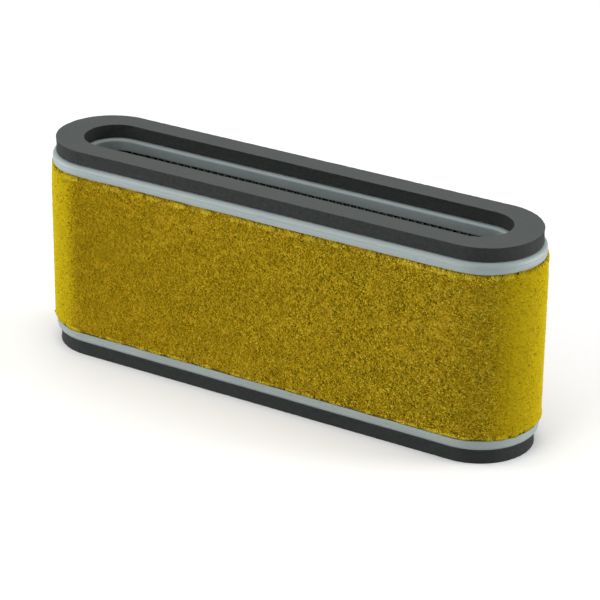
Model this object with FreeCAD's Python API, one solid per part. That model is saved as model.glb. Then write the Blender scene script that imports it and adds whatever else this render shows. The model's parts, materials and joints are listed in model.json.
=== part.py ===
"""Oval two-stage air filter element for a small engine.

A ring of pleated paper stands between an inner and an outer tube of expanded steel.
A yellow fleece pre-filter is wrapped round the outside.  Both ends are potted into
zinc-plated steel end caps, and each cap carries a flat ring of sponge rubber that
seals against the air box.  Clean air leaves through the long slot down the middle.

Units are millimetres.  +Z is up, X runs along the slot, and the origin is the centre
of the lower seal's resting face.
"""

import FreeCAD
import Part

import math
import os

Vector = FreeCAD.Vector

# ---------------------------------------------------------------- driving dimensions
# Overall, over the end caps and over both seals
element_length = 203.0
element_width = 44.4
element_height = 83.4

# Sponge-rubber seals
seal_thickness = 5.3
seal_inset = 1.3                # cap edge to seal edge, all round
seal_opening_length = 178.0
seal_opening_width = 23.6
adhesive_thickness = 0.2        # film between a seal and its cap
adhesive_inset = 0.7            # seal edge to film edge, on both sides

# End caps, pressed from sheet
cap_sheet = 0.5
cap_flange_height = 4.1         # outer flange, over the cap's face
cap_throat_height = 4.6         # inner flange, round the slot
cap_shoulder_radius = 2.0       # outside of the outer bend
cap_throat_radius = 1.0         # outside of the inner bend
cap_ledge = 1.5                 # seal opening to cap opening, all round

# Potting that fills the root of each cap's channel
potting_bite = 1.3              # how far paper, tubes and fleece stand in it
bend_clearance = 0.15           # foot of the fleece to the bend of the cap

# Expanded-steel tubes
tube_sheet = 0.5
inner_tube_gap = 0.2            # inner flange to inner tube
inner_mesh_width = 6.0          # diamond pitch along the wall
inner_mesh_height = 12.0        # diamond pitch up the wall
inner_strand = 0.5
inner_first_row = 3.5           # edge of the inner flange to the middle of the next openings
outer_mesh_width = 9.0
outer_mesh_height = 18.0
outer_strand = 1.1
outer_first_row = 2.2           # edge of the outer flange to the middle of the next openings

# Pleated paper
paper_thickness = 0.5
paper_clearance = 0.3           # pleat tips to either tube
pleat_pitch = 3.05              # along the inner tips
pleat_flat_share = 0.16         # share of a pitch that each folded tip takes
seam_fin_depth = 3.4            # parallel stretch of the seam pleat, under the clip
seam_fin_half_share = 0.16      # half its width, as a share of a pitch

# Clip that closes the paper ring
clip_sheet = 0.4
clip_clearance = 0.05
clip_leg = 3.0

# Fleece pre-filter
fleece_thickness = 2.6
fleece_clearance = 0.2          # flange to fleece, and fleece to outer tube
fleece_proud = 0.5              # how far it swells past the caps between them
fleece_edge_gap = 0.3           # cap edge to the swollen part
fleece_edge_radius = 0.9
fleece_seam_x = -36.0           # butt joint on the back wall
fleece_seam_width = 0.8
fleece_glue_recess = 0.4        # glue bead below the fleece's surface

# ---------------------------------------------------------------- derived places
cap_half_length = element_length / 2
cap_half_width = element_width / 2
seat_height = seal_thickness + adhesive_thickness       # lower cap's face
opening_half_length = seal_opening_length / 2 - cap_ledge
opening_half_width = seal_opening_width / 2 - cap_ledge
bend_radius = cap_shoulder_radius - cap_sheet           # inside of the outer bend
bend_rise = bend_radius - math.sqrt(bend_radius ** 2 - (bend_radius - fleece_clearance) ** 2)
media_foot = seat_height + cap_sheet + bend_rise + bend_clearance
media_height = element_height - 2 * media_foot
potting_top = media_foot + potting_bite                 # surface of the lower potting
paper_lap = cap_sheet + inner_tube_gap + tube_sheet + paper_clearance
fleece_outer_inset = cap_sheet + fleece_clearance
fleece_inner_inset = fleece_outer_inset + fleece_thickness
outer_tube_inset = fleece_inner_inset + fleece_clearance
paper_outer_inset = outer_tube_inset + tube_sheet + paper_clearance


# ---------------------------------------------------------------- outlines and rings
class Oval:
    """Two straight sides joined by half circles, centred on the origin."""

    def __init__(self, half_length, half_width):
        self.half_length = half_length
        self.half_width = half_width
        self.half_straight = half_length - half_width

    def grown(self, by):
        return Oval(self.half_length + by, self.half_width + by)

    def perimeter(self):
        return 4 * self.half_straight + 2 * math.pi * self.half_width

    def back_middle(self):
        """Distance along the oval, as share_at() counts it, to the back side's middle."""
        return 3 * self.half_straight + math.pi * self.half_width

    def wire(self, z):
        c, r = self.half_straight, self.half_width
        right_tip, left_tip = Vector(c + r, 0, z), Vector(-c - r, 0, z)
        front_right, front_left = Vector(c, -r, z), Vector(-c, -r, z)
        back_right, back_left = Vector(c, r, z), Vector(-c, r, z)
        return Part.Wire([
            Part.LineSegment(front_left, front_right).toShape(),
            Part.Arc(front_right, right_tip, back_right).toShape(),
            Part.LineSegment(back_right, back_left).toShape(),
            Part.Arc(back_left, left_tip, front_left).toShape(),
        ])

    def point(self, share):
        """Point and outward direction at a share of each stretch: 0 to 1 is the front
        side, 1 to 2 the right end, 2 to 3 the back side and 3 to 4 the left end."""
        stretch, along = int(share) % 4, share - int(share)
        c, r = self.half_straight, self.half_width
        if stretch == 0:
            return Vector(-c + 2 * c * along, -r, 0), Vector(0, -1, 0)
        if stretch == 2:
            return Vector(c - 2 * c * along, r, 0), Vector(0, 1, 0)
        start, centre = (-90, c) if stretch == 1 else (90, -c)
        angle = math.radians(start + 180 * along)
        out = Vector(math.cos(angle), math.sin(angle), 0)
        return Vector(centre, 0, 0) + out * r, out

    def share_at(self, distance):
        """The share of point() that lies a distance along the oval."""
        side, end = 2 * self.half_straight, math.pi * self.half_width
        distance = distance % self.perimeter()
        for stretch, length in enumerate((side, end, side, end)):
            if distance < length:
                return stretch + distance / length
            distance -= length
        return 0.0


def ring(outer, inner, z, height):
    """Upright wall between two ovals."""
    outside = Part.Face(outer.wire(z)).extrude(Vector(0, 0, height))
    inside = Part.Face(inner.wire(z)).extrude(Vector(0, 0, height))
    return outside.cut(inside)


def flat_edges(shape, z, oval):
    """The edges at height z that lie on an oval."""
    tolerance = 1e-4
    found = []
    for edge in shape.Edges:
        box = edge.BoundBox
        level = abs(box.ZMin - z) < tolerance and abs(box.ZMax - z) < tolerance
        reach = max(abs(box.YMin), abs(box.YMax))
        if level and abs(reach - oval.half_width) < tolerance:
            found.append(edge)
    return found


def at_other_end(shape):
    """The same piece at the top of the element."""
    return shape.mirror(Vector(0, 0, element_height / 2), Vector(0, 0, 1))


cap_outline = Oval(cap_half_length, cap_half_width)
cap_opening = Oval(opening_half_length, opening_half_width)
seal_outline = cap_outline.grown(-seal_inset)
seal_opening = Oval(seal_opening_length / 2, seal_opening_width / 2)
inner_tube_bore = cap_opening.grown(cap_sheet + inner_tube_gap)
outer_tube_bore = cap_outline.grown(-outer_tube_inset - tube_sheet)
fleece_bore = cap_outline.grown(-fleece_inner_inset)
fleece_neck = cap_outline.grown(-fleece_outer_inset)
paper_inner = cap_opening.grown(paper_lap)
paper_outer = cap_outline.grown(-paper_outer_inset)


# ---------------------------------------------------------------- seals and adhesive
def bottom_seal():
    return ring(seal_outline, seal_opening, 0, seal_thickness)


def bottom_seal_adhesive():
    outer = seal_outline.grown(-adhesive_inset)
    inner = seal_opening.grown(adhesive_inset)
    return ring(outer, inner, seal_thickness, adhesive_thickness)


# ---------------------------------------------------------------- end caps
def channel(outer, inner, z, height, outer_radius, inner_radius):
    """Ring with both edges of its lower face rounded."""
    body = ring(outer, inner, z, height)
    body = body.makeFillet(outer_radius, flat_edges(body, z, outer))
    return body.makeFillet(inner_radius, flat_edges(body, z, inner))


def bottom_end_cap():
    """Channel of even thickness, with each flange then cut down to its own height."""
    tallest = max(cap_flange_height, cap_throat_height)
    pressed = channel(cap_outline, cap_opening, seat_height, tallest,
                      cap_shoulder_radius, cap_throat_radius)
    hollow = channel(cap_outline.grown(-cap_sheet), cap_opening.grown(cap_sheet),
                     seat_height + cap_sheet, tallest,
                     bend_radius, cap_throat_radius - cap_sheet)
    shell = pressed.cut(hollow)
    for outer, flange_height in ((cap_outline, cap_flange_height),
                                 (cap_opening.grown(cap_sheet), cap_throat_height)):
        over = ring(outer.grown(cap_sheet), outer.grown(-2 * cap_sheet),
                    seat_height + flange_height, tallest - flange_height + cap_sheet)
        shell = shell.cut(over)
    return shell


def bottom_potting(potted):
    """Fills the root of the channel round everything that stands in it."""
    root = seat_height + cap_sheet
    fill = channel(cap_outline.grown(-cap_sheet), cap_opening.grown(cap_sheet),
                   root, potting_top - root, bend_radius, cap_throat_radius - cap_sheet)
    for piece in potted:
        fill = fill.cut(piece)
    return fill


# ---------------------------------------------------------------- expanded-steel tubes
def diamond(centre, out, half_width, half_height, depth):
    """Cutter for one opening, which reaches through the wall along its normal."""
    across = Vector(-out.y, out.x, 0)
    start = centre - out * depth
    corners = [start + across * half_width, start + Vector(0, 0, half_height),
               start - across * half_width, start - Vector(0, 0, half_height)]
    face = Part.Face(Part.makePolygon(corners + corners[:1]))
    return face.extrude(out * (2 * depth))


def expanded_wall(bore, mesh_width, mesh_height, strand, first, foot, height):
    """Upright wall with staggered diamond openings, as cut from a long mesh: the rows
    run on past both edges from the one whose middle is at first, and an even count of
    them keeps both ends alike."""
    middle = bore.grown(tube_sheet / 2)
    columns = round(middle.perimeter() / mesh_width)
    pitch = middle.perimeter() / columns
    span = element_height - 2 * first
    steps = 2 * round(span / mesh_height)
    row_step = span / steps
    inset = 1 - strand * math.hypot(pitch / 2, row_step) / (pitch * row_step)
    half_width, half_height = pitch / 2 * inset, row_step * inset
    cutters = []
    for row in range(-2, steps + 3):
        z = first + row_step * row
        if z + half_height <= foot or z - half_height >= foot + height:
            continue
        for column in range(columns):
            distance = pitch * (column + 0.5 * (row % 2))
            centre, out = middle.point(middle.share_at(distance))
            cutters.append(diamond(centre + Vector(0, 0, z), out, half_width,
                                   half_height, 2 * tube_sheet))
    wall = ring(bore.grown(tube_sheet), bore, foot, height)
    return wall.cut(Part.makeCompound(cutters))


def inner_wall(foot, height):
    first = seat_height + cap_throat_height + inner_first_row
    return expanded_wall(inner_tube_bore, inner_mesh_width, inner_mesh_height,
                         inner_strand, first, foot, height)


def outer_wall(foot, height):
    first = seat_height + cap_flange_height + outer_first_row
    return expanded_wall(outer_tube_bore, outer_mesh_width, outer_mesh_height,
                         outer_strand, first, foot, height)


# ---------------------------------------------------------------- pleated paper
def pleat_count():
    return round(paper_inner.perimeter() / pleat_pitch)


def pleat_reach(foot, out):
    """Distance from a place on the inner tips' oval, square to it, to the outer tips'."""
    c, r = paper_outer.half_straight, paper_outer.half_width
    if out.y:
        reach = (math.copysign(r, out.y) - foot.y) / out.y
        if abs(foot.x + out.x * reach) <= c:
            return reach
    from_end = foot - Vector(math.copysign(c, foot.x), 0, 0)
    across = from_end.dot(out)
    return math.sqrt(across ** 2 + r ** 2 - from_end.dot(from_end)) - across


def pleat_place(turn, depth):
    """Where a pleat's fold lies: turn is a share of the whole ring, counted from the
    middle of the back side, and depth runs from 0 at the inner tips to 1."""
    distance = turn * paper_inner.perimeter() + paper_inner.back_middle()
    foot, out = paper_inner.point(paper_inner.share_at(distance))
    return foot + out * (pleat_reach(foot, out) * depth)


def seam_depth():
    """Depth of the seam pleat's tip, which leaves room for the clip's back."""
    full = paper_outer.half_width - paper_inner.half_width
    return 1 - (clip_sheet + clip_clearance) / full


def paper_folds():
    """Corner points of the folded sheet's middle, once round."""
    count = pleat_count()
    full = paper_outer.half_width - paper_inner.half_width
    folds = []
    for pleat in range(count):
        seam = pleat == 0
        tip_depth = seam_depth() if seam else 1.0
        half_tip = seam_fin_half_share if seam else pleat_flat_share / 2
        fin_foot = tip_depth - seam_fin_depth / full
        corners = [(-0.5 + pleat_flat_share / 2, 0.0)]
        corners += [(-half_tip, fin_foot)] if seam else []
        corners += [(-half_tip, tip_depth), (half_tip, tip_depth)]
        corners += [(half_tip, fin_foot)] if seam else []
        corners += [(0.5 - pleat_flat_share / 2, 0.0)]
        for across, depth in corners:
            folds.append(pleat_place((pleat + across) / count, depth))
    return folds


def offset_loop(points, distance):
    """Closed polygon moved sideways by a distance, with mitred corners."""
    moved = []
    for before, here, after in zip(points[-1:] + points[:-1], points,
                                   points[1:] + points[:1]):
        first, second = (here - before).normalize(), (after - here).normalize()
        a, b = Vector(first.y, -first.x, 0), Vector(second.y, -second.x, 0)
        moved.append(here + (a + b) * (distance / (1 + a.dot(b))))
    return moved


def sheet_loop(points, thickness, z, height):
    """Upright sheet that follows a closed polygon."""
    faces = []
    for side in (thickness / 2, -thickness / 2):
        loop = [p + Vector(0, 0, z) for p in offset_loop(points, side)]
        faces.append(Part.Face(Part.makePolygon(loop + loop[:1])))
    faces.sort(key=lambda face: face.Area)
    return faces[1].cut(faces[0]).extrude(Vector(0, 0, height))


def pleated_paper():
    return sheet_loop(paper_folds(), paper_thickness, media_foot, media_height)


def pleat_seam_clip():
    """U-shaped strip pressed over the seam pleat, between the two lots of potting."""
    half_fin = seam_fin_half_share * paper_inner.perimeter() / pleat_count()
    inside = half_fin + paper_thickness / 2 + clip_clearance
    outside = inside + clip_sheet
    full = paper_outer.half_width - paper_inner.half_width
    tip = paper_inner.half_width + full * seam_depth() + paper_thickness / 2
    back = tip + clip_clearance
    height = element_height - 2 * potting_top
    outer = Part.makeBox(2 * outside, clip_leg + clip_sheet, height,
                         Vector(-outside, back - clip_leg, potting_top))
    slot = Part.makeBox(2 * inside, clip_leg, height,
                        Vector(-inside, back - clip_leg, potting_top))
    return outer.cut(slot)


# ---------------------------------------------------------------- fleece pre-filter
def fleece_seam_slot(depth_inset):
    """Box through the back wall at the butt joint."""
    reach = fleece_thickness + fleece_proud + fleece_clearance + cap_sheet
    return Part.makeBox(fleece_seam_width, reach - depth_inset, media_height,
                        Vector(fleece_seam_x - fleece_seam_width / 2,
                               fleece_bore.half_width, media_foot))


def whole_fleece():
    """The wrap before its joint is cut: a neck in both caps, swollen between them."""
    body_foot = seat_height + cap_flange_height + fleece_edge_gap
    body_height = element_height - 2 * body_foot
    outline = cap_outline.grown(fleece_proud)
    swell = Part.Face(outline.wire(body_foot)).extrude(Vector(0, 0, body_height))
    edges = flat_edges(swell, body_foot, outline)
    edges += flat_edges(swell, body_foot + body_height, outline)
    swell = swell.makeFillet(fleece_edge_radius, edges)
    neck = Part.Face(fleece_neck.wire(media_foot)).extrude(Vector(0, 0, media_height))
    bore = Part.Face(fleece_bore.wire(media_foot)).extrude(Vector(0, 0, media_height))
    return swell.fuse(neck).cut(bore).removeSplitter()


def fleece_wrap():
    return whole_fleece().cut(fleece_seam_slot(0))


def fleece_seam_glue():
    """Bead of glue that fills the butt joint, a little below the surface."""
    return whole_fleece().common(fleece_seam_slot(fleece_glue_recess))


# ---------------------------------------------------------------- the whole element
def build():
    paper = pleated_paper()
    potted = [inner_wall(media_foot, potting_bite), outer_wall(media_foot, potting_bite),
              paper, whole_fleece()]
    potting = bottom_potting(potted)
    ends = {
        "seal": bottom_seal(),
        "seal_adhesive": bottom_seal_adhesive(),
        "end_cap": bottom_end_cap(),
        "potting": potting,
    }
    nodes = {
        "inner_mesh": inner_wall(media_foot, media_height),
        "outer_mesh": outer_wall(media_foot, media_height),
        "pleated_paper": paper,
        "pleat_seam_clip": pleat_seam_clip(),
        "fleece_wrap": fleece_wrap(),
        "fleece_seam_glue": fleece_seam_glue(),
    }
    for name, shape in ends.items():
        nodes["bottom_" + name] = shape
        nodes["top_" + name] = at_other_end(shape)
    return nodes


os.makedirs("parts", exist_ok=True)
for node, solid in build().items():
    solid.exportStep(os.path.join("parts", node + ".step"))
    print(f"{node}: {len(solid.Solids)} solid(s), {len(solid.Faces)} faces, "
          f"{solid.Volume / 1000:.2f} cm3, valid {solid.isValid()}")
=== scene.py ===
import json
import math

import bpy
import numpy as np
from mathutils import Matrix, Vector


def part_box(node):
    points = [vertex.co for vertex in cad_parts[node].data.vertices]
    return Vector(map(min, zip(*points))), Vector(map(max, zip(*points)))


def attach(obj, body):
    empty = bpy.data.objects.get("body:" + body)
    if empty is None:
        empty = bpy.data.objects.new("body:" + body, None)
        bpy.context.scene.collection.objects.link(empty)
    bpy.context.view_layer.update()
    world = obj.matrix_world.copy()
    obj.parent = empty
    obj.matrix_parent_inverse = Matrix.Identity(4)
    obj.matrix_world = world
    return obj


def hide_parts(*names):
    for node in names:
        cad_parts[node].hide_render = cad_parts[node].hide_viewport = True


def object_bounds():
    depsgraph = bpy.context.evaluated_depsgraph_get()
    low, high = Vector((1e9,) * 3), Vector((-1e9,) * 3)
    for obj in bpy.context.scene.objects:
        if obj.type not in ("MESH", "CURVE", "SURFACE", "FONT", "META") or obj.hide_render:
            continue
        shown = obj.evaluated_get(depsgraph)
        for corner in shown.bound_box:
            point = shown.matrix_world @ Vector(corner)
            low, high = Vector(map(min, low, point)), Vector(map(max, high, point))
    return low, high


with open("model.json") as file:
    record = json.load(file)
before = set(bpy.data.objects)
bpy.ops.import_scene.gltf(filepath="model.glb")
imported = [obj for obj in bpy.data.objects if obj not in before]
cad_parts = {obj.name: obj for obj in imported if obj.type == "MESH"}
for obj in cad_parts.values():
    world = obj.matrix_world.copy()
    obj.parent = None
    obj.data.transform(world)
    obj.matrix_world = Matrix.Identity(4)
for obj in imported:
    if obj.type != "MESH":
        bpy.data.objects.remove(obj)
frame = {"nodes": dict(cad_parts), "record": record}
cadLow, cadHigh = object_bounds()
print("frame loaded, CAD nodes:", len(frame["nodes"]))

mm = 0.001


def walkOval(distance, core, radius):
    # An oval is a line of half-length core with a radius round it. Each distance along it,
    # from the left end of the front wall and anticlockwise from above, gives the place on
    # that line as a share from -1 to 1, and the outward direction.
    straight, halfTurn = 2 * core, math.pi * radius
    knots = np.cumsum([0, straight, halfTurn, straight, halfTurn])
    share = np.interp(np.mod(distance, knots[-1]), knots, range(5))
    part = share - np.floor(share)
    which = [share < 1, share < 2, share < 3]
    middle = np.select(which, [2 * part - 1, 1, 1 - 2 * part], -1)
    angle = np.select(which, [0, math.pi * part, math.pi], math.pi * (1 + part))
    return middle, np.sin(angle), -np.cos(angle)


def roundTrip(core, radius):
    return 4 * core + 2 * math.pi * radius


def carryProfile(walk, profile, push=0.0):
    # Point = core x share along the line + radius x outward direction, at its height.
    # push moves it along the profile's own normal: the tangent turned by a right angle.
    middle, outX, outY = (part[:, None] for part in walk)
    core, radius, height = profile.T
    ahead = np.roll(profile, -1, 0) - np.roll(profile, 1, 0)
    size = np.hypot(ahead[:, 1], ahead[:, 2]) + 1e-12
    radius = radius + push * ahead[:, 2] / size
    height = height - push * ahead[:, 1] / size
    x = core * middle + radius * outX
    return np.stack(np.broadcast_arrays(x, radius * outY, height), -1)


def leg(start, end, count):
    return np.linspace(start, end, count, endpoint=False)


def bend(core, radius, height, size, fromAngle, toAngle, count):
    # Point = centre + size x (cosine, sine) in the upright plane, end point left out.
    turn = np.radians(np.linspace(fromAngle, toAngle, count, endpoint=False))
    return np.stack([np.full(count, core), radius + size * np.cos(turn),
                     height + size * np.sin(turn)], 1)


def gridFaces(rows, columns, closed=True):
    # Four corners per cell of a grid that is closed across, and closed along if asked.
    row = np.arange(rows if closed else rows - 1)[:, None] * columns
    nextRow = np.mod(row + columns, rows * columns)
    column = np.arange(columns)[None, :]
    nextColumn = np.mod(column + 1, columns)
    return np.stack([row + column, nextRow + column, nextRow + nextColumn,
                     row + nextColumn], -1).reshape(-1, 4)


def cloudy(rows, columns, rowStep, columnStep, blur, seed):
    # White noise times a bell curve in frequency, scaled to a spread of one.
    white = np.random.default_rng(seed).standard_normal((rows, columns))
    rowWaves = np.fft.fftfreq(rows, rowStep)[:, None]
    columnWaves = np.fft.rfftfreq(columns, columnStep)[None, :]
    keep = np.exp(-2 * (math.pi * blur) ** 2 * (rowWaves ** 2 + columnWaves ** 2))
    field = np.fft.irfft2(np.fft.rfft2(white) * keep, s=(rows, columns))
    return (field - field.mean()) / field.std()


def makePiece(name, points, faces, material, numbers=()):
    # Turns every face over if the volume, summed from the origin, comes out negative.
    # numbers pairs names with arrays: one number for each point, which a finish can read.
    volume = 0.0
    for block in faces:
        for k in range(1, block.shape[1] - 1):
            a, b, c = points[block[:, 0]], points[block[:, k]], points[block[:, k + 1]]
            volume += (a * np.cross(b, c)).sum()
    if volume < 0:
        faces = [block[:, ::-1] for block in faces]
    corners = np.concatenate([block.ravel() for block in faces])
    sizes = np.concatenate([np.full(len(block), block.shape[1]) for block in faces])
    mesh = bpy.data.meshes.new(name)
    mesh.vertices.add(len(points))
    mesh.vertices.foreach_set("co", points.astype(np.float32).ravel())
    mesh.loops.add(len(corners))
    mesh.loops.foreach_set("vertex_index", corners.astype(np.int32))
    mesh.polygons.add(len(sizes))
    mesh.polygons.foreach_set("loop_start", (np.cumsum(sizes) - sizes).astype(np.int32))
    mesh.polygons.foreach_set("use_smooth", np.full(len(sizes), True))
    mesh.update(calc_edges=True)
    mesh.validate()
    for label, values in numbers:
        stored = mesh.attributes.new(label, "FLOAT", "POINT")
        stored.data.foreach_set("value", values.astype(np.float32))
    mesh.materials.append(material)
    piece = bpy.data.objects.new(name, mesh)
    bpy.context.scene.collection.objects.link(piece)
    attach(piece, "root")
    return piece


class Finish:
    # A material with its shader, and short ways to add grain, shades and relief.
    def __init__(self, name, roughness, metallic=0.0, specular=0.5):
        self.material = bpy.data.materials.new(name)
        self.material.use_nodes = True
        self.nodes = self.material.node_tree.nodes
        self.links = self.material.node_tree.links
        self.shader = self.nodes["Principled BSDF"]
        self.shader.inputs["Roughness"].default_value = roughness
        self.shader.inputs["Metallic"].default_value = metallic
        self.shader.inputs["Specular IOR Level"].default_value = specular
        self.place = self.nodes.new("ShaderNodeTexCoord").outputs["Object"]

    def grain(self, scale, detail=3.0, rough=0.6, stretch=(1, 1, 1)):
        mapping = self.nodes.new("ShaderNodeMapping")
        mapping.inputs["Scale"].default_value = stretch
        self.links.new(self.place, mapping.inputs["Vector"])
        noise = self.nodes.new("ShaderNodeTexNoise")
        noise.inputs["Scale"].default_value = scale
        noise.inputs["Detail"].default_value = detail
        noise.inputs["Roughness"].default_value = rough
        self.links.new(mapping.outputs["Vector"], noise.inputs["Vector"])
        return noise.outputs["Fac"]

    def cells(self, scale):
        cell = self.nodes.new("ShaderNodeTexVoronoi")
        cell.inputs["Scale"].default_value = scale
        self.links.new(self.place, cell.inputs["Vector"])
        return cell.outputs["Distance"]

    def shades(self, value, stops):
        ramp = self.nodes.new("ShaderNodeValToRGB")
        band = ramp.color_ramp
        while len(band.elements) < len(stops):
            band.elements.new(0.5)
        for element, (position, colour) in zip(band.elements, stops):
            element.position = position
            element.color = (*colour, 1)
        self.links.new(value, ramp.inputs["Fac"])
        return ramp.outputs["Color"]

    def levels(self, value, low, high, toLow, toHigh):
        span = self.nodes.new("ShaderNodeMapRange")
        for name, number in (("From Min", low), ("From Max", high),
                             ("To Min", toLow), ("To Max", toHigh)):
            span.inputs[name].default_value = number
        self.links.new(value, span.inputs["Value"])
        return span.outputs["Result"]

    def blend(self, value, first, second, how="MIX"):
        mix = self.nodes.new("ShaderNodeMix")
        mix.data_type = "RGBA"
        mix.blend_type = how
        for socket, given in ((mix.inputs[0], value), (mix.inputs[6], first),
                              (mix.inputs[7], second)):
            if isinstance(given, (int, float)):
                socket.default_value = given
            elif isinstance(given, tuple):
                socket.default_value = (*given, 1)
            else:
                self.links.new(given, socket)
        return mix.outputs[2]

    def given(self, name):
        # A number that the mesh itself carries.
        stored = self.nodes.new("ShaderNodeAttribute")
        stored.attribute_name = name
        return stored.outputs["Fac"]

    def facing(self, axis):
        # How far the surface itself looks along X, Y or Z.
        geometry = self.nodes.new("ShaderNodeNewGeometry")
        split = self.nodes.new("ShaderNodeSeparateXYZ")
        self.links.new(geometry.outputs["True Normal"], split.inputs[0])
        flip = self.nodes.new("ShaderNodeMath")
        flip.operation = "ABSOLUTE"
        self.links.new(split.outputs[axis], flip.inputs[0])
        return flip.outputs[0]

    def colour(self, socket):
        self.links.new(socket, self.shader.inputs["Base Color"])

    def roughness(self, socket):
        self.links.new(socket, self.shader.inputs["Roughness"])

    def relief(self, *layers):
        # Each layer is a height, its depth in metres and its strength.
        normal = None
        for height, depth, strength in layers:
            bump = self.nodes.new("ShaderNodeBump")
            bump.inputs["Distance"].default_value = depth
            bump.inputs["Strength"].default_value = strength
            self.links.new(height, bump.inputs["Height"])
            if normal is not None:
                self.links.new(normal, bump.inputs["Normal"])
            normal = bump.outputs["Normal"]
        self.links.new(normal, self.shader.inputs["Normal"])


def feltFinish(name, pits, body, light, sheen):
    felt = Finish(name, 0.95, specular=0.12)
    tufts = felt.grain(1150, 2, 0.6)                # about 0.9 mm
    fine = felt.grain(2600, 2, 0.6)
    # Hollows of the tuft relief get the pits colour and its tops the light one: painted shade
    # and painted light over a tone that differs at random.
    tuftToneAndShade = felt.shades(tufts, [(0.34, pits), (0.46, body), (0.58, body), (0.70, light)])
    hair = felt.shades(fine, [(0.35, (0.72, 0.70, 0.66)), (0.65, (1.18, 1.18, 1.18))])
    felt.colour(felt.blend(0.85, tuftToneAndShade, hair, "MULTIPLY"))
    felt.relief((tufts, 0.4 * mm, 0.7), (fine, 0.12 * mm, 0.6))
    addSheen(felt, sheen)
    return felt.material


def fibreFinish(name, shades, paintedLitColour, sheen):
    # Each fibre carries its own tone, with painted shade at its tips and painted light at its
    # crown, and how flat it is brushed, which evens it out to one colour: painted light on the
    # ends.
    fibre = Finish(name, 0.95, specular=0.05)
    tone = fibre.shades(fibre.given("tone"), shades)
    fibre.colour(fibre.blend(fibre.given("brushedWithPaintedLight"), tone, paintedLitColour))
    fibre.relief((fibre.grain(4200, 2, 0.6), 0.05 * mm, 0.4))
    addSheen(fibre, sheen)
    return fibre.material


def addSheen(finish, sheen):
    finish.shader.inputs["Sheen Weight"].default_value = sheen["weight"]
    finish.shader.inputs["Sheen Roughness"].default_value = sheen["roughness"]
    finish.shader.inputs["Sheen Tint"].default_value = (*sheen["tint"], 1)


def rubberFinish():
    rubber = Finish("spongeRubber", 0.82, specular=0.2)
    speckle = rubber.grain(900, 3, 0.7)
    smear = rubber.grain(60, 4, 0.6, (0.5, 1, 1))
    pores = rubber.cells(1500)
    # Upright sides far darker than the flat skin: partly open cut cells, partly painted shade.
    skin = rubber.shades(speckle, [(0.25, (0.062, 0.068, 0.064)), (0.75, (0.076, 0.083, 0.078))])
    cutSideAndShade = rubber.shades(speckle, [(0.25, (0.011, 0.013, 0.012)), (0.75, (0.023, 0.026, 0.024))])
    onFace = rubber.levels(rubber.facing("Z"), 0.5, 0.95, 0.0, 1.0)
    base = rubber.blend(onFace, cutSideAndShade, skin)
    dusty = rubber.shades(smear, [(0.35, (0.95, 0.95, 0.95)), (0.75, (1.06, 1.06, 1.06))])
    rubber.colour(rubber.blend(1.0, base, dusty, "MULTIPLY"))
    rubber.roughness(rubber.levels(smear, 0.3, 0.7, 0.74, 0.9))
    rubber.relief((pores, 0.06 * mm, 0.25), (speckle, 0.08 * mm, 0.35))
    return rubber.material


def zincFinish(name, dark, light, roughness=0.48, metallic=0.45):
    zinc = Finish(name, roughness, metallic)
    streaks = zinc.grain(240, 4, 0.6, (0.06, 0.06, 1.0))    # long rolling marks round the wall
    clouds = zinc.grain(70, 4, 0.6)
    spots = zinc.grain(1100, 2, 0.5)
    base = zinc.shades(streaks, [(0.28, dark), (0.72, light)])
    stain = zinc.shades(clouds, [(0.30, (0.92, 0.93, 0.95)), (0.65, (1.03, 1.03, 1.02))])
    pin = zinc.shades(spots, [(0.24, (0.66, 0.66, 0.64)), (0.32, (1.0, 1.0, 1.0))])
    zinc.colour(zinc.blend(1.0, zinc.blend(1.0, base, stain, "MULTIPLY"), pin, "MULTIPLY"))
    zinc.roughness(zinc.levels(clouds, 0.3, 0.7, roughness - 0.07, roughness + 0.1))
    zinc.relief((streaks, 0.03 * mm, 0.3), (clouds, 0.3 * mm, 0.2))
    return zinc.material


def paperFinish():
    paper = Finish("filterPaper", 0.9, specular=0.2)
    fibres = paper.grain(1300, 4, 0.7, (1, 1, 0.35))
    tone = paper.grain(40, 3)
    base = paper.shades(fibres, [(0.3, (0.052, 0.048, 0.036)), (0.7, (0.110, 0.098, 0.072))])
    age = paper.shades(tone, [(0.3, (0.86, 0.84, 0.80)), (0.7, (1.0, 1.0, 1.0))])
    paper.colour(paper.blend(1.0, base, age, "MULTIPLY"))
    paper.relief((fibres, 0.08 * mm, 0.5))
    return paper.material


def castFinish(name, dark, light, roughness):
    cast = Finish(name, roughness, specular=0.4)
    lumps = cast.grain(260, 3, 0.6)
    cast.colour(cast.shades(lumps, [(0.3, dark), (0.7, light)]))
    cast.roughness(cast.levels(lumps, 0.3, 0.7, roughness - 0.1, roughness + 0.1))
    cast.relief((lumps, 0.25 * mm, 0.5))
    return cast.material


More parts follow.
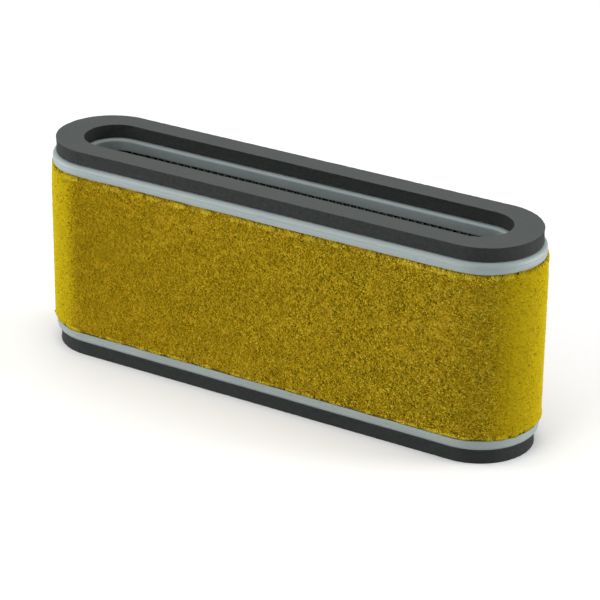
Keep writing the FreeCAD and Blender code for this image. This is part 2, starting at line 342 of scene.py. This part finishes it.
yellowSheen = {"weight": 0.7, "roughness": 0.3, "tint": (0.84, 0.82, 0.03)}
finishes = {
    # The sheet is darker than the fibres on it: painted shade between them.
    "fleece": feltFinish("needledFleece", (0.07, 0.043, 0.001), (0.28, 0.182, 0.004),
                         (0.42, 0.30, 0.01), yellowSheen),
    "sponge_rubber": rubberFinish(),
    "zinc_plated_steel": zincFinish("zincPlate", (0.215, 0.25, 0.247), (0.25, 0.29, 0.286),
                                    0.58, 0.2),
    # Darker than the caps' plating: partly painted shade of the slot it lines.
    "expanded_steel": zincFinish("expandedSteel", (0.16, 0.185, 0.183), (0.24, 0.275, 0.272)),
    "clip_steel": zincFinish("clipSteel", (0.36, 0.38, 0.38), (0.50, 0.52, 0.52), 0.35, 0.8),
    "filter_paper": paperFinish(),
    "potting": castFinish("pottingResin", (0.05, 0.05, 0.055), (0.12, 0.12, 0.125), 0.5),
    "seal_adhesive": castFinish("sealAdhesive", (0.10, 0.09, 0.07), (0.24, 0.21, 0.15), 0.4),
    "seam_glue": castFinish("seamGlue", (0.24, 0.155, 0.02), (0.42, 0.29, 0.05), 0.3),
}
# The lone colour after the ramp is the even, yellower colour of the brushed ends: painted light.
looseFibres = fibreFinish("looseFibres",
                          [(0.0, (0.07, 0.040, 0.001)), (0.35, (0.375, 0.229, 0.004)),
                           (0.7, (0.470, 0.310, 0.006)), (1.0, (0.70, 0.56, 0.05))],
                          (0.43, 0.325, 0.005), yellowSheen)
print("finishes made:", len(finishes) + 1)


seal = {
    "opening": (178.0 * mm, 23.6 * mm),    # length and width of the hole
    "edge": 0.28 * mm,                     # rounding of the die-cut corners
    "hollow": 0.16 * mm,                   # how far the cut sides draw in at mid-height
    "step": 0.7 * mm,
    "wander": 0.10 * mm,                   # slow waver of the cut
    "waverBlur": 5 * mm,
    "pitting": 0.035 * mm,
    "leastPit": 0.3,                       # share of it everywhere, so no face lies flush
    "pitBlur": 0.45 * mm,
    "profileStep": 0.5 * mm,               # about what the legs below are divided into
}


def makeSeal(name, node, seed):
    low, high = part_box(node)
    outRadius, thick = high.y, high.z - low.z
    outCore = high.x - outRadius
    inRadius = seal["opening"][1] / 2
    inCore = seal["opening"][0] / 2 - inRadius
    e = seal["edge"]
    profile = np.concatenate([
        leg((outCore, outRadius, e), (outCore, outRadius, thick - e), 9),
        bend(outCore, outRadius - e, thick - e, e, 0, 90, 4),
        leg((outCore, outRadius - e, thick), (inCore, inRadius + e, thick), 22),
        bend(inCore, inRadius + e, thick - e, e, 90, 180, 4),
        leg((inCore, inRadius, thick - e), (inCore, inRadius, e), 9),
        bend(inCore, inRadius + e, e, e, 180, 270, 4),
        leg((inCore, inRadius + e, 0), (outCore, outRadius - e, 0), 12),
        bend(outCore, outRadius - e, e, e, 270, 360, 4),
    ])
    count = round(roundTrip(outCore, outRadius) / seal["step"])
    distance = np.arange(count) * roundTrip(outCore, outRadius) / count
    walk = walkOval(distance, outCore, outRadius)
    columns = len(profile)
    side = np.sin(math.pi * np.clip(profile[:, 2] / thick, 0, 1))
    onSide = np.where((profile[:, 2] > 0.5 * e) & (profile[:, 2] < thick - 0.5 * e), side, 0)
    waver = cloudy(count, 1, seal["step"], 1, seal["waverBlur"], seed)
    pits = cloudy(count, columns, seal["step"], seal["profileStep"], seal["pitBlur"], seed + 1)
    pits = np.clip(pits + 1, seal["leastPit"], 3)
    push = (-seal["hollow"] * onSide - seal["pitting"] * pits
            - seal["wander"] * np.clip(waver + 1.5, 0, 3) * (onSide > 0) * 0.5)
    points = carryProfile(walk, profile, push)
    points[..., 2] += low.z
    piece = makePiece(name, points.reshape(-1, 3), [gridFaces(count, columns)],
                      finishes["sponge_rubber"])
    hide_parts(node)


makeSeal("sealBottom", "bottom_seal", 11)
makeSeal("sealTop", "top_seal", 21)
print("seals made")


cap = {
    "sheet": 0.5 * mm,
    "flange": 4.1 * mm,                    # outer flange; the inner one fills the node's height
    "ledge": 1.5 * mm,                     # seal opening to cap opening
    "shoulder": 1.9 * mm,
    "throat": 1.0 * mm,
    "crease": 0.10 * mm,                   # depth of the press line under the shoulder
    "creaseHeight": 2.15 * mm,
    "creaseWidth": 0.22 * mm,
    "edgeWave": 0.16 * mm,                 # uneven lower edge of the flange
    "wallWave": 0.05 * mm,
    "waveBlur": (3 * mm, 14 * mm),         # quick and slow waver round the wall
    "dentBlur": 2.2 * mm,
    "pressReach": 0.6 * mm,                # both measured inward from the outer wall
    "waveReach": 3 * mm,
    "edgeFrom": 0.55,                      # share of the flange where the edge's waver begins
    "step": 1.0 * mm,
    "profileStep": 0.6 * mm,
}


def makeCap(name, node, upward, seed):
    low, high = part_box(node)
    tall, throatTall, outRadius = cap["flange"], high.z - low.z, high.y
    outCore = high.x - outRadius
    inRadius = seal["opening"][1] / 2 - cap["ledge"]
    inCore = seal["opening"][0] / 2 - cap["ledge"] - inRadius
    s, big, small = cap["sheet"], cap["shoulder"], cap["throat"]
    profile = np.concatenate([
        leg((outCore, outRadius, tall), (outCore, outRadius, big), 16),
        bend(outCore, outRadius - big, big, big, 0, -90, 12),
        leg((outCore, outRadius - big, 0), (inCore, inRadius + small, 0), 8),
        bend(inCore, inRadius + small, small, small, -90, -180, 8),
        leg((inCore, inRadius, small), (inCore, inRadius, throatTall), 10),
        leg((inCore, inRadius, throatTall), (inCore, inRadius + s, throatTall), 2),
        leg((inCore, inRadius + s, throatTall), (inCore, inRadius + s, small), 6),
        bend(inCore, inRadius + small, small, small - s, 180, 270, 4),
        leg((inCore, inRadius + small, s), (outCore, outRadius - big, s), 8),
        bend(outCore, outRadius - big, big, big - s, -90, 0, 6),
        leg((outCore, outRadius - s, big), (outCore, outRadius - s, tall), 6),
        leg((outCore, outRadius - s, tall), (outCore, outRadius, tall), 2),
    ])
    length = roundTrip(outCore, outRadius)
    count = round(length / cap["step"])
    walk = walkOval(np.arange(count) * length / count, outCore, outRadius)
    columns = len(profile)
    radius, height = profile[:, 1], profile[:, 2]
    pressed = radius > outRadius - cap["pressReach"]
    wavy = radius > outRadius - cap["waveReach"]
    press = np.exp(-((height - cap["creaseHeight"]) / cap["creaseWidth"]) ** 2)
    profile[:, 1] -= cap["crease"] * press * pressed
    wave, slow = (cloudy(count, 1, cap["step"], 1, blur, seed + k)
                  for k, blur in enumerate(cap["waveBlur"]))
    dents = cloudy(count, columns, cap["step"], cap["profileStep"], cap["dentBlur"], seed + 2)
    points = carryProfile(walk, profile)
    start = cap["edgeFrom"] * tall
    towardEdge = np.clip((height - start) / (tall - start), 0, 1) ** 2
    middle, outX, outY = (part[:, None] for part in walk)
    inward = cap["wallWave"] * (np.clip(slow + 1.5, 0, 3) * towardEdge
                                + 0.5 * np.clip(dents + 1, 0, 2)) * wavy
    points[..., 0] -= inward * outX
    points[..., 1] -= inward * outY
    ragged = np.clip(0.6 * wave + 0.5 * slow + 1, 0, 2) / 2
    points[..., 2] -= cap["edgeWave"] * ragged * towardEdge
    points[..., 2] = low.z + points[..., 2] if upward else high.z - points[..., 2]
    piece = makePiece(name, points.reshape(-1, 3), [gridFaces(count, columns)],
                      finishes["zinc_plated_steel"])
    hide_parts(node)


makeCap("endCapBottom", "bottom_end_cap", True, 31)
makeCap("endCapTop", "top_end_cap", False, 41)
print("end caps made")


fleece = {
    "thick": 2.6 * mm,
    "tuck": 1.5 * mm,                      # how far the edges are squeezed in under a flange
    "gap": 0.45 * mm,                      # flange edge to the first swell
    "swell": 1.5 * mm,                     # height over which it comes out to full thickness
    "fullness": 0.8,                       # power of the swell's sine: less is squarer
    "lean": 0.3 * mm,                      # how much less it stands out at the upper cap
    "leanHeight": 9.0 * mm,
    "step": 0.66 * mm,
    "seamX": -36.0 * mm,
    "seamGap": 0.8 * mm,
    "tufts": (0.12 * mm, 0.42 * mm),       # depth and blur of each kind of unevenness
    "lumps": (0.03 * mm, 1.6 * mm),
    "sway": (0.04 * mm, 9 * mm),
    "pits": (0.14 * mm, 0.35 * mm),
    "pitsAbove": 1.1,                      # only where their noise is over this
    "sunk": 0.25 * mm,                     # the sheet below the tips of its tufts
    "tucked": 0.25,                        # share of the unevenness left beside a flange
    "hidden": 5,                           # rows of points under each flange
}
anyFibre = {                               # what holds for every kind of fibre
    "curl": 0.2 * mm,
    "tone": 0.5,                           # middle tone, out of 1
    "spread": (0.09, 0.40),                # of tone, at the two ends of the wall; the smaller left one paints light washing out the grain
    "crown": 0.05,                         # how far crown (painted light) and tips (painted shade) stray from a fibre's tone
    "tips": -0.16,
    # Each end's side, and how far the wall faces that way where fibres begin to lie flat and
    # take the even colour of painted light, and where all of them do.
    "brushedWithPaintedLight": ((-1, 0.0, 0.25), (1, 0.55, 0.9)),
}
brushing = {                               # what lying flat changes, as shares
    "length": 0.6,
    "width": 0.6,
    "lift": -0.8,
    "standOff": -0.4,
    "spread": -0.9,
    "crown": -0.8,
    # share of the even colour of painted light where fibres lie flat
    "paintedLitShare": 0.85,
}
pile = {                                   # short tufts that cover the whole wall
    "groups": 5,
    "perGroup": 31000,
    "length": (0.8 * mm, 1.8 * mm),
    "width": (0.26 * mm, 0.44 * mm),
    "lift": (0.0, 0.40 * mm),
    "depth": 0.36 * mm,
    "sunk": 0.12 * mm,
    "edge": 1.25 * mm,                     # flange edge to the first tufts
    "paler": 0.0,
    "rings": (0.5,),                       # where its corners stand, as shares of its length
    "seed": 71,
}
hair = {                                   # longer loose fibres, brushed round the ends
    "count": 14000,
    "length": (1.3 * mm, 3.2 * mm),
    "width": (0.10 * mm, 0.18 * mm),
    "lift": (0.10 * mm, 0.35 * mm),
    "sunk": 0.1 * mm,
    "place": (0.5, 0.42),                  # along an end's half turn: middle and spread
    "tilt": (-0.35, 0.6),                  # middle and spread, in radians
    "edge": 1.0 * mm,
    "paler": 0.0,
    "rings": (0.32, 0.68),
    "seed": 77,
}
fringe = {                                 # frayed fibres in clumps along both edges
    "count": 7000,
    "length": (0.8 * mm, 2.0 * mm),
    "width": (0.12 * mm, 0.30 * mm),
    "lift": (0.1 * mm, 0.5 * mm),
    "clump": 1.3 * mm,
    "clumpStep": 0.3 * mm,
    "clumpLevel": 0.2,                     # added to the noise that says how dense they are
    "clumpRange": (0.04, 2),               # and what the sum is kept within
    "edge": 1.15 * mm,                     # flange edge to the middle of the clumps
    "scatter": 0.35 * mm,                  # about that line
    "standOff": 0.05 * mm,
    "loft": 0.35 * mm,                     # how much further out some of them stand
    "tiltSpread": 0.55,
    "paler": 0.28,                         # how much brighter than the wall, in tone: painted light on the frayed fibres that stand out
    "rings": (0.32, 0.68),
    "seed": 81,
}

fleeceLow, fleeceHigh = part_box("fleece_wrap")
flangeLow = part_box("bottom_end_cap")[0].z + cap["flange"]
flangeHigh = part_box("top_end_cap")[1].z - cap["flange"]
fleeceRadius = fleeceHigh.y
fleeceCore = fleeceHigh.x - fleeceRadius
fleeceTrip = roundTrip(fleeceCore, fleeceRadius)
straight, halfTurn = 2 * fleeceCore, math.pi * fleeceRadius
fleeceSeam = straight + halfTurn + fleeceCore - fleece["seamX"]


def fleeceReach(z):
    # Radius at a height: tucked in at either flange, then out by a quarter sine to a power.
    inside = np.minimum(z - flangeLow, flangeHigh - z) - fleece["gap"]
    rise = np.clip(inside / fleece["swell"], 0, 1)
    out = np.sin(0.5 * math.pi * rise) ** fleece["fullness"]
    lean = np.clip(1 - (flangeHigh - z) / fleece["leanHeight"], 0, 1)
    return fleeceRadius - fleece["tuck"] * (1 - out) - fleece["lean"] * lean * out


def makeFleece():
    foot, head = fleeceLow.z, fleeceHigh.z
    inRadius = fleeceRadius - fleece["tuck"] - fleece["thick"]
    face = np.linspace(flangeLow, flangeHigh, round((flangeHigh - flangeLow) / fleece["step"]))
    hidden = fleece["hidden"]
    z = np.concatenate([leg(foot, flangeLow, hidden), face, leg(head, flangeHigh, hidden)[::-1],
                        [head], leg(head, foot, 10)[1:], [foot]])
    outer = len(face) + 2 * hidden
    radius = np.where(np.arange(len(z)) < outer, fleeceReach(z), inRadius)
    profile = np.stack([np.full(len(z), fleeceCore), radius, z], 1)
    length = fleeceTrip - fleece["seamGap"]
    rows, columns = round(length / fleece["step"]), len(z)
    distance = fleeceSeam + fleece["seamGap"] / 2 + np.linspace(0, length, rows)
    walk = walkOval(distance, fleeceCore, fleeceRadius)
    cell = (rows, columns, fleece["step"], fleece["step"])
    push = sum(fleece[kind][0] * cloudy(*cell, fleece[kind][1], seed)
               for kind, seed in (("tufts", 51), ("lumps", 52), ("sway", 53)))
    pitDepth, pitBlur = fleece["pits"]
    push = push - pitDepth * np.clip(cloudy(*cell, pitBlur, 54) - fleece["pitsAbove"], 0, 2)
    out = np.clip((fleeceReach(z) - fleeceRadius + fleece["tuck"]) / fleece["tuck"], 0, 1)
    tucked = fleece["tucked"]
    weight = np.where(np.arange(len(z)) < outer, tucked + (1 - tucked) * out, 0)
    weight[:hidden] = weight[outer - hidden:outer] = 0
    middle, outX, outY = (part[:, None] for part in walk)
    depth = (push - fleece["sunk"]) * weight
    points = carryProfile(walk, profile)
    points[..., 0] += depth * outX
    points[..., 1] += depth * outY
    ends = [np.arange(columns)[None, ::-1], (rows - 1) * columns + np.arange(columns)[None, :]]
    piece = makePiece("fleeceWrap", points.reshape(-1, 3),
                      [gridFaces(rows, columns, closed=False)] + ends,
                      finishes["fleece"])
    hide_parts("fleece_wrap")
    return piece


def spindles(roots, along, out, length, width, lift, curl, rings):
    # Each fibre is a thin three-sided spindle. Its spine runs length x (s - 1/2) along the
    # wall, rises by lift x (1 - (2s - 1)^2), and sways by curl x sin(pi s). Rings of three
    # corners stand round it between its two tips.
    side = np.cross(along, out)
    length, width, lift, curl = (values[:, None] for values in (length, width, lift, curl))

    def spine(s):
        return (roots + along * length * (s - 0.5) + out * lift * (1 - (2 * s - 1) ** 2)
                + side * curl * math.sin(math.pi * s))

    rows = [spine(0.0)]
    for s in rings:
        for turn in np.radians((90, 210, 330)):
            rows.append(spine(s) + width / 2 * (side * math.cos(turn) + out * math.sin(turn)))
    rows.append(spine(1.0))
    points = np.stack(rows, 1)
    first = np.arange(len(roots))[:, None, None] * len(rows)
    one, last = np.array([1, 2, 3]), np.array([1, 2, 3]) + 3 * (len(rings) - 1)
    after = np.roll(one, -1)
    start = np.stack([0 * one, after, one], 1)
    end = np.stack([0 * last + len(rows) - 1, last, np.roll(last, -1)], 1)
    faces = [(first + np.concatenate([start, end])).reshape(-1, 3)]
    for k in range(len(rings) - 1):
        wall = np.stack([one, after, after + 3, one + 3], 1) + 3 * k
        faces.append((first + wall).reshape(-1, 4))
    return points.reshape(-1, 3), faces


def makeFibres(name, distance, z, tilt, kind, standOff, seed):
    # The tone of fibres is spread less at the left end of the wall than at the right one, and it
    # evens out where the wall turns to the ends: both painted light washing out the grain. It is
    # brighter at a crown than at its tips: painted light and painted shade.
    random = np.random.default_rng(seed)
    count, rings = len(z), kind["rings"]
    middle, outX, outY = walkOval(distance, fleeceCore, fleeceRadius)
    smooth = sum(np.clip((side * outX - first) / (last - first), 0, 1)
                 for side, first, last in anyFibre["brushedWithPaintedLight"])
    eased = {key: 1 + share * smooth for key, share in brushing.items()}
    reach = fleeceReach(z) + standOff * eased["standOff"]
    level = np.zeros_like(outX)
    roots = np.stack([fleeceCore * middle + reach * outX, reach * outY, z], 1)
    out = np.stack([outX, outY, level], 1)
    around = np.stack([-outY, outX, level], 1)
    along = np.cos(tilt)[:, None] * around + np.sin(tilt)[:, None] * np.array([0.0, 0.0, 1.0])
    length, width, lift = (random.uniform(*kind[key], count) * eased[key]
                           for key in ("length", "width", "lift"))
    points, faces = spindles(roots, along, out, length, width, lift,
                             random.normal(0, anyFibre["curl"], count), rings)
    spread = np.interp(roots[:, 0], (-fleeceCore, fleeceCore), anyFibre["spread"])
    own = (anyFibre["tone"] + kind["paler"]
           + random.normal(0, 1, count) * spread * eased["spread"])
    tip, crown = anyFibre["tips"], anyFibre["crown"]
    paintedCrownAndTips = np.array([tip] + [crown] * (3 * len(rings)) + [tip])
    tone = np.clip(own[:, None] + paintedCrownAndTips * eased["crown"][:, None], 0, 1)
    brushedWithPaintedLight = np.repeat(brushing["paintedLitShare"] * smooth, tone.shape[1])
    return makePiece(name, points, faces, looseFibres,
                     (("tone", tone.ravel()), ("brushedWithPaintedLight", brushedWithPaintedLight)))


def clearOfSeam(distance):
    # Moves a fibre three gaps along the wall if it starts within one gap of the seam.
    close = np.abs(np.mod(distance - fleeceSeam + fleeceTrip / 2, fleeceTrip) - fleeceTrip / 2)
    return np.where(close < fleece["seamGap"], distance + 3 * fleece["seamGap"], distance)


fleecePiece = makeFleece()
placing = np.random.default_rng(61)
for group in range(pile["groups"]):
    count = pile["perGroup"]
    distance = clearOfSeam((group + placing.random(count)) * fleeceTrip / pile["groups"])
    z = placing.uniform(flangeLow + pile["edge"], flangeHigh - pile["edge"], count)
    stand = placing.uniform(-pile["depth"], 0.0, count) - pile["sunk"]
    tilt = placing.uniform(0, 2 * math.pi, count)
    makeFibres("fleecePile" + "ABCDE"[group], distance, z, tilt, pile,
                                  stand, pile["seed"] + group)
count = hair["count"]
whichEnd = placing.integers(0, 2, count) * (straight + halfTurn)
distance = straight + whichEnd + placing.normal(*hair["place"], count) * halfTurn
z = placing.uniform(flangeLow + hair["edge"], flangeHigh - hair["edge"], count)
tilt = placing.normal(*hair["tilt"], count)
makeFibres("fleeceHair", distance, z, tilt, hair, -hair["sunk"],
                              hair["seed"])
for name, edge, turn in (("fleeceFringeBottom", flangeLow + fringe["edge"], -0.5 * math.pi),
                         ("fleeceFringeTop", flangeHigh - fringe["edge"], 0.5 * math.pi)):
    count = fringe["count"]
    z = edge + placing.normal(0, fringe["scatter"], count)
    step = fringe["clumpStep"]
    spots = round(fleeceTrip / step)
    clumps = cloudy(spots, 1, step, 1, fringe["clump"], 85).ravel()
    density = np.clip(clumps + fringe["clumpLevel"], *fringe["clumpRange"])
    distance = clearOfSeam(np.interp(placing.random(count) * density.sum(),
                                     np.cumsum(density), np.arange(spots) * step))
    tilt = turn + placing.normal(0, fringe["tiltSpread"], count)
    stand = fringe["standOff"] + placing.uniform(0, fringe["loft"], count)
    makeFibres(name, distance, z, tilt, fringe, stand, fringe["seed"])


for name, node in frame["nodes"].items():
    if node.hide_render:
        continue
    slotName = next(part["material_slot"] for part in frame["record"]["subparts"]
                    if part["node"] == name)
    for materialSlot in node.material_slots:
        materialSlot.material = finishes[slotName]
print("CAD finishes set")


studio = {                                 # lamps by azimuth, elevation, distance in metres
    "floorHalf": 4.0,
    "floorCells": 8,
    "floorShade": (0.85, 0.85, 0.85),
    "world": 0.42,
    "top": {"power": 15, "size": 1.4, "from": (0, 90, 1.5)},
    "fill": {"power": 9, "size": 0.9, "from": (-15, 25, 1.4)},
    "left": {"power": 7.5, "size": 0.5, "from": (-66, 9, 1.1)},
    "right": {"power": 12, "size": 0.5, "from": (118, 9, 1.1)},
}
view = {
    "azimuth": 30.969,
    "elevation": 24.777,
    "roll": 0.684,
    "distance": 0.9773,
    "lens": 158.95,                        # lens and sensor in millimetres
    "sensor": 36,
    "aimX": 4.353 * mm,                    # from the middle of the part
    "aimHeight": 0.4282,                   # share of the part's height
}


def makeFloor():
    half = studio["floorHalf"]
    cells = studio["floorCells"]
    row = cells + 1
    edge = np.linspace(-half, half, row)
    x, y = np.meshgrid(edge, edge)
    points = np.stack([x.ravel(), y.ravel(), np.full(x.size, cadLow.z)], 1)
    start = (np.arange(cells)[:, None] * row + np.arange(cells)).ravel()
    mesh = bpy.data.meshes.new("floor")
    mesh.from_pydata(points.tolist(), [],
                     np.stack([start, start + 1, start + row + 1, start + row], 1).tolist())
    plain = Finish("paleFloor", 0.9, specular=0.1)
    tone = plain.grain(3, 2)
    shade = studio["floorShade"]
    plain.colour(plain.shades(tone, [(0.3, shade), (0.7, tuple(1.01 * c for c in shade))]))
    mesh.materials.append(plain.material)
    floor = bpy.data.objects.new("floor", mesh)
    bpy.context.scene.collection.objects.link(floor)


def direction(azimuth, elevation):
    # Azimuth 0 looks from the front, -Y, and 90 from the right, +X.
    azimuth, elevation = math.radians(azimuth), math.radians(elevation)
    return Vector((math.sin(azimuth) * math.cos(elevation),
                   -math.cos(azimuth) * math.cos(elevation), math.sin(elevation)))


def makeLamp(name, values):
    lamp = bpy.data.lights.new(name, "AREA")
    lamp.energy, lamp.size = values["power"], values["size"]
    lampObject = bpy.data.objects.new(name, lamp)
    azimuth, elevation, distance = values["from"]
    away = direction(azimuth, elevation)
    lampObject.location = (cadLow + cadHigh) / 2 + away * distance
    lampObject.rotation_euler = away.to_track_quat("Z", "Y").to_euler()
    bpy.context.scene.collection.objects.link(lampObject)


def makeCamera():
    roll = math.radians(view["roll"])
    back = direction(view["azimuth"], view["elevation"])
    right = (-back).cross(Vector((0, 0, 1))).normalized()
    up = right.cross(-back)
    right, up = (math.cos(roll) * right + math.sin(roll) * up,
                 math.cos(roll) * up - math.sin(roll) * right)
    aim = Vector(((cadLow.x + cadHigh.x) / 2 + view["aimX"], (cadLow.y + cadHigh.y) / 2,
                  cadLow.z + view["aimHeight"] * (cadHigh.z - cadLow.z)))
    camera = bpy.data.objects.new("camera", bpy.data.cameras.new("camera"))
    camera.data.lens = view["lens"]
    camera.data.sensor_width = view["sensor"]
    camera.matrix_world = (Matrix.Translation(aim + back * view["distance"])
                           @ Matrix((right, up, back)).transposed().to_4x4())
    bpy.context.scene.collection.objects.link(camera)
    bpy.context.scene.camera = camera


world = bpy.data.worlds.new("studio")
world.use_nodes = True
world.node_tree.nodes["Background"].inputs["Color"].default_value = (1, 1, 1, 1)
world.node_tree.nodes["Background"].inputs["Strength"].default_value = studio["world"]
bpy.context.scene.world = world
bpy.context.scene.view_settings.view_transform = "Standard"
makeFloor()
for lampName in ("top", "fill", "left", "right"):
    makeLamp(lampName + "Light", studio[lampName])
makeCamera()
print("floor, lights and camera placed")
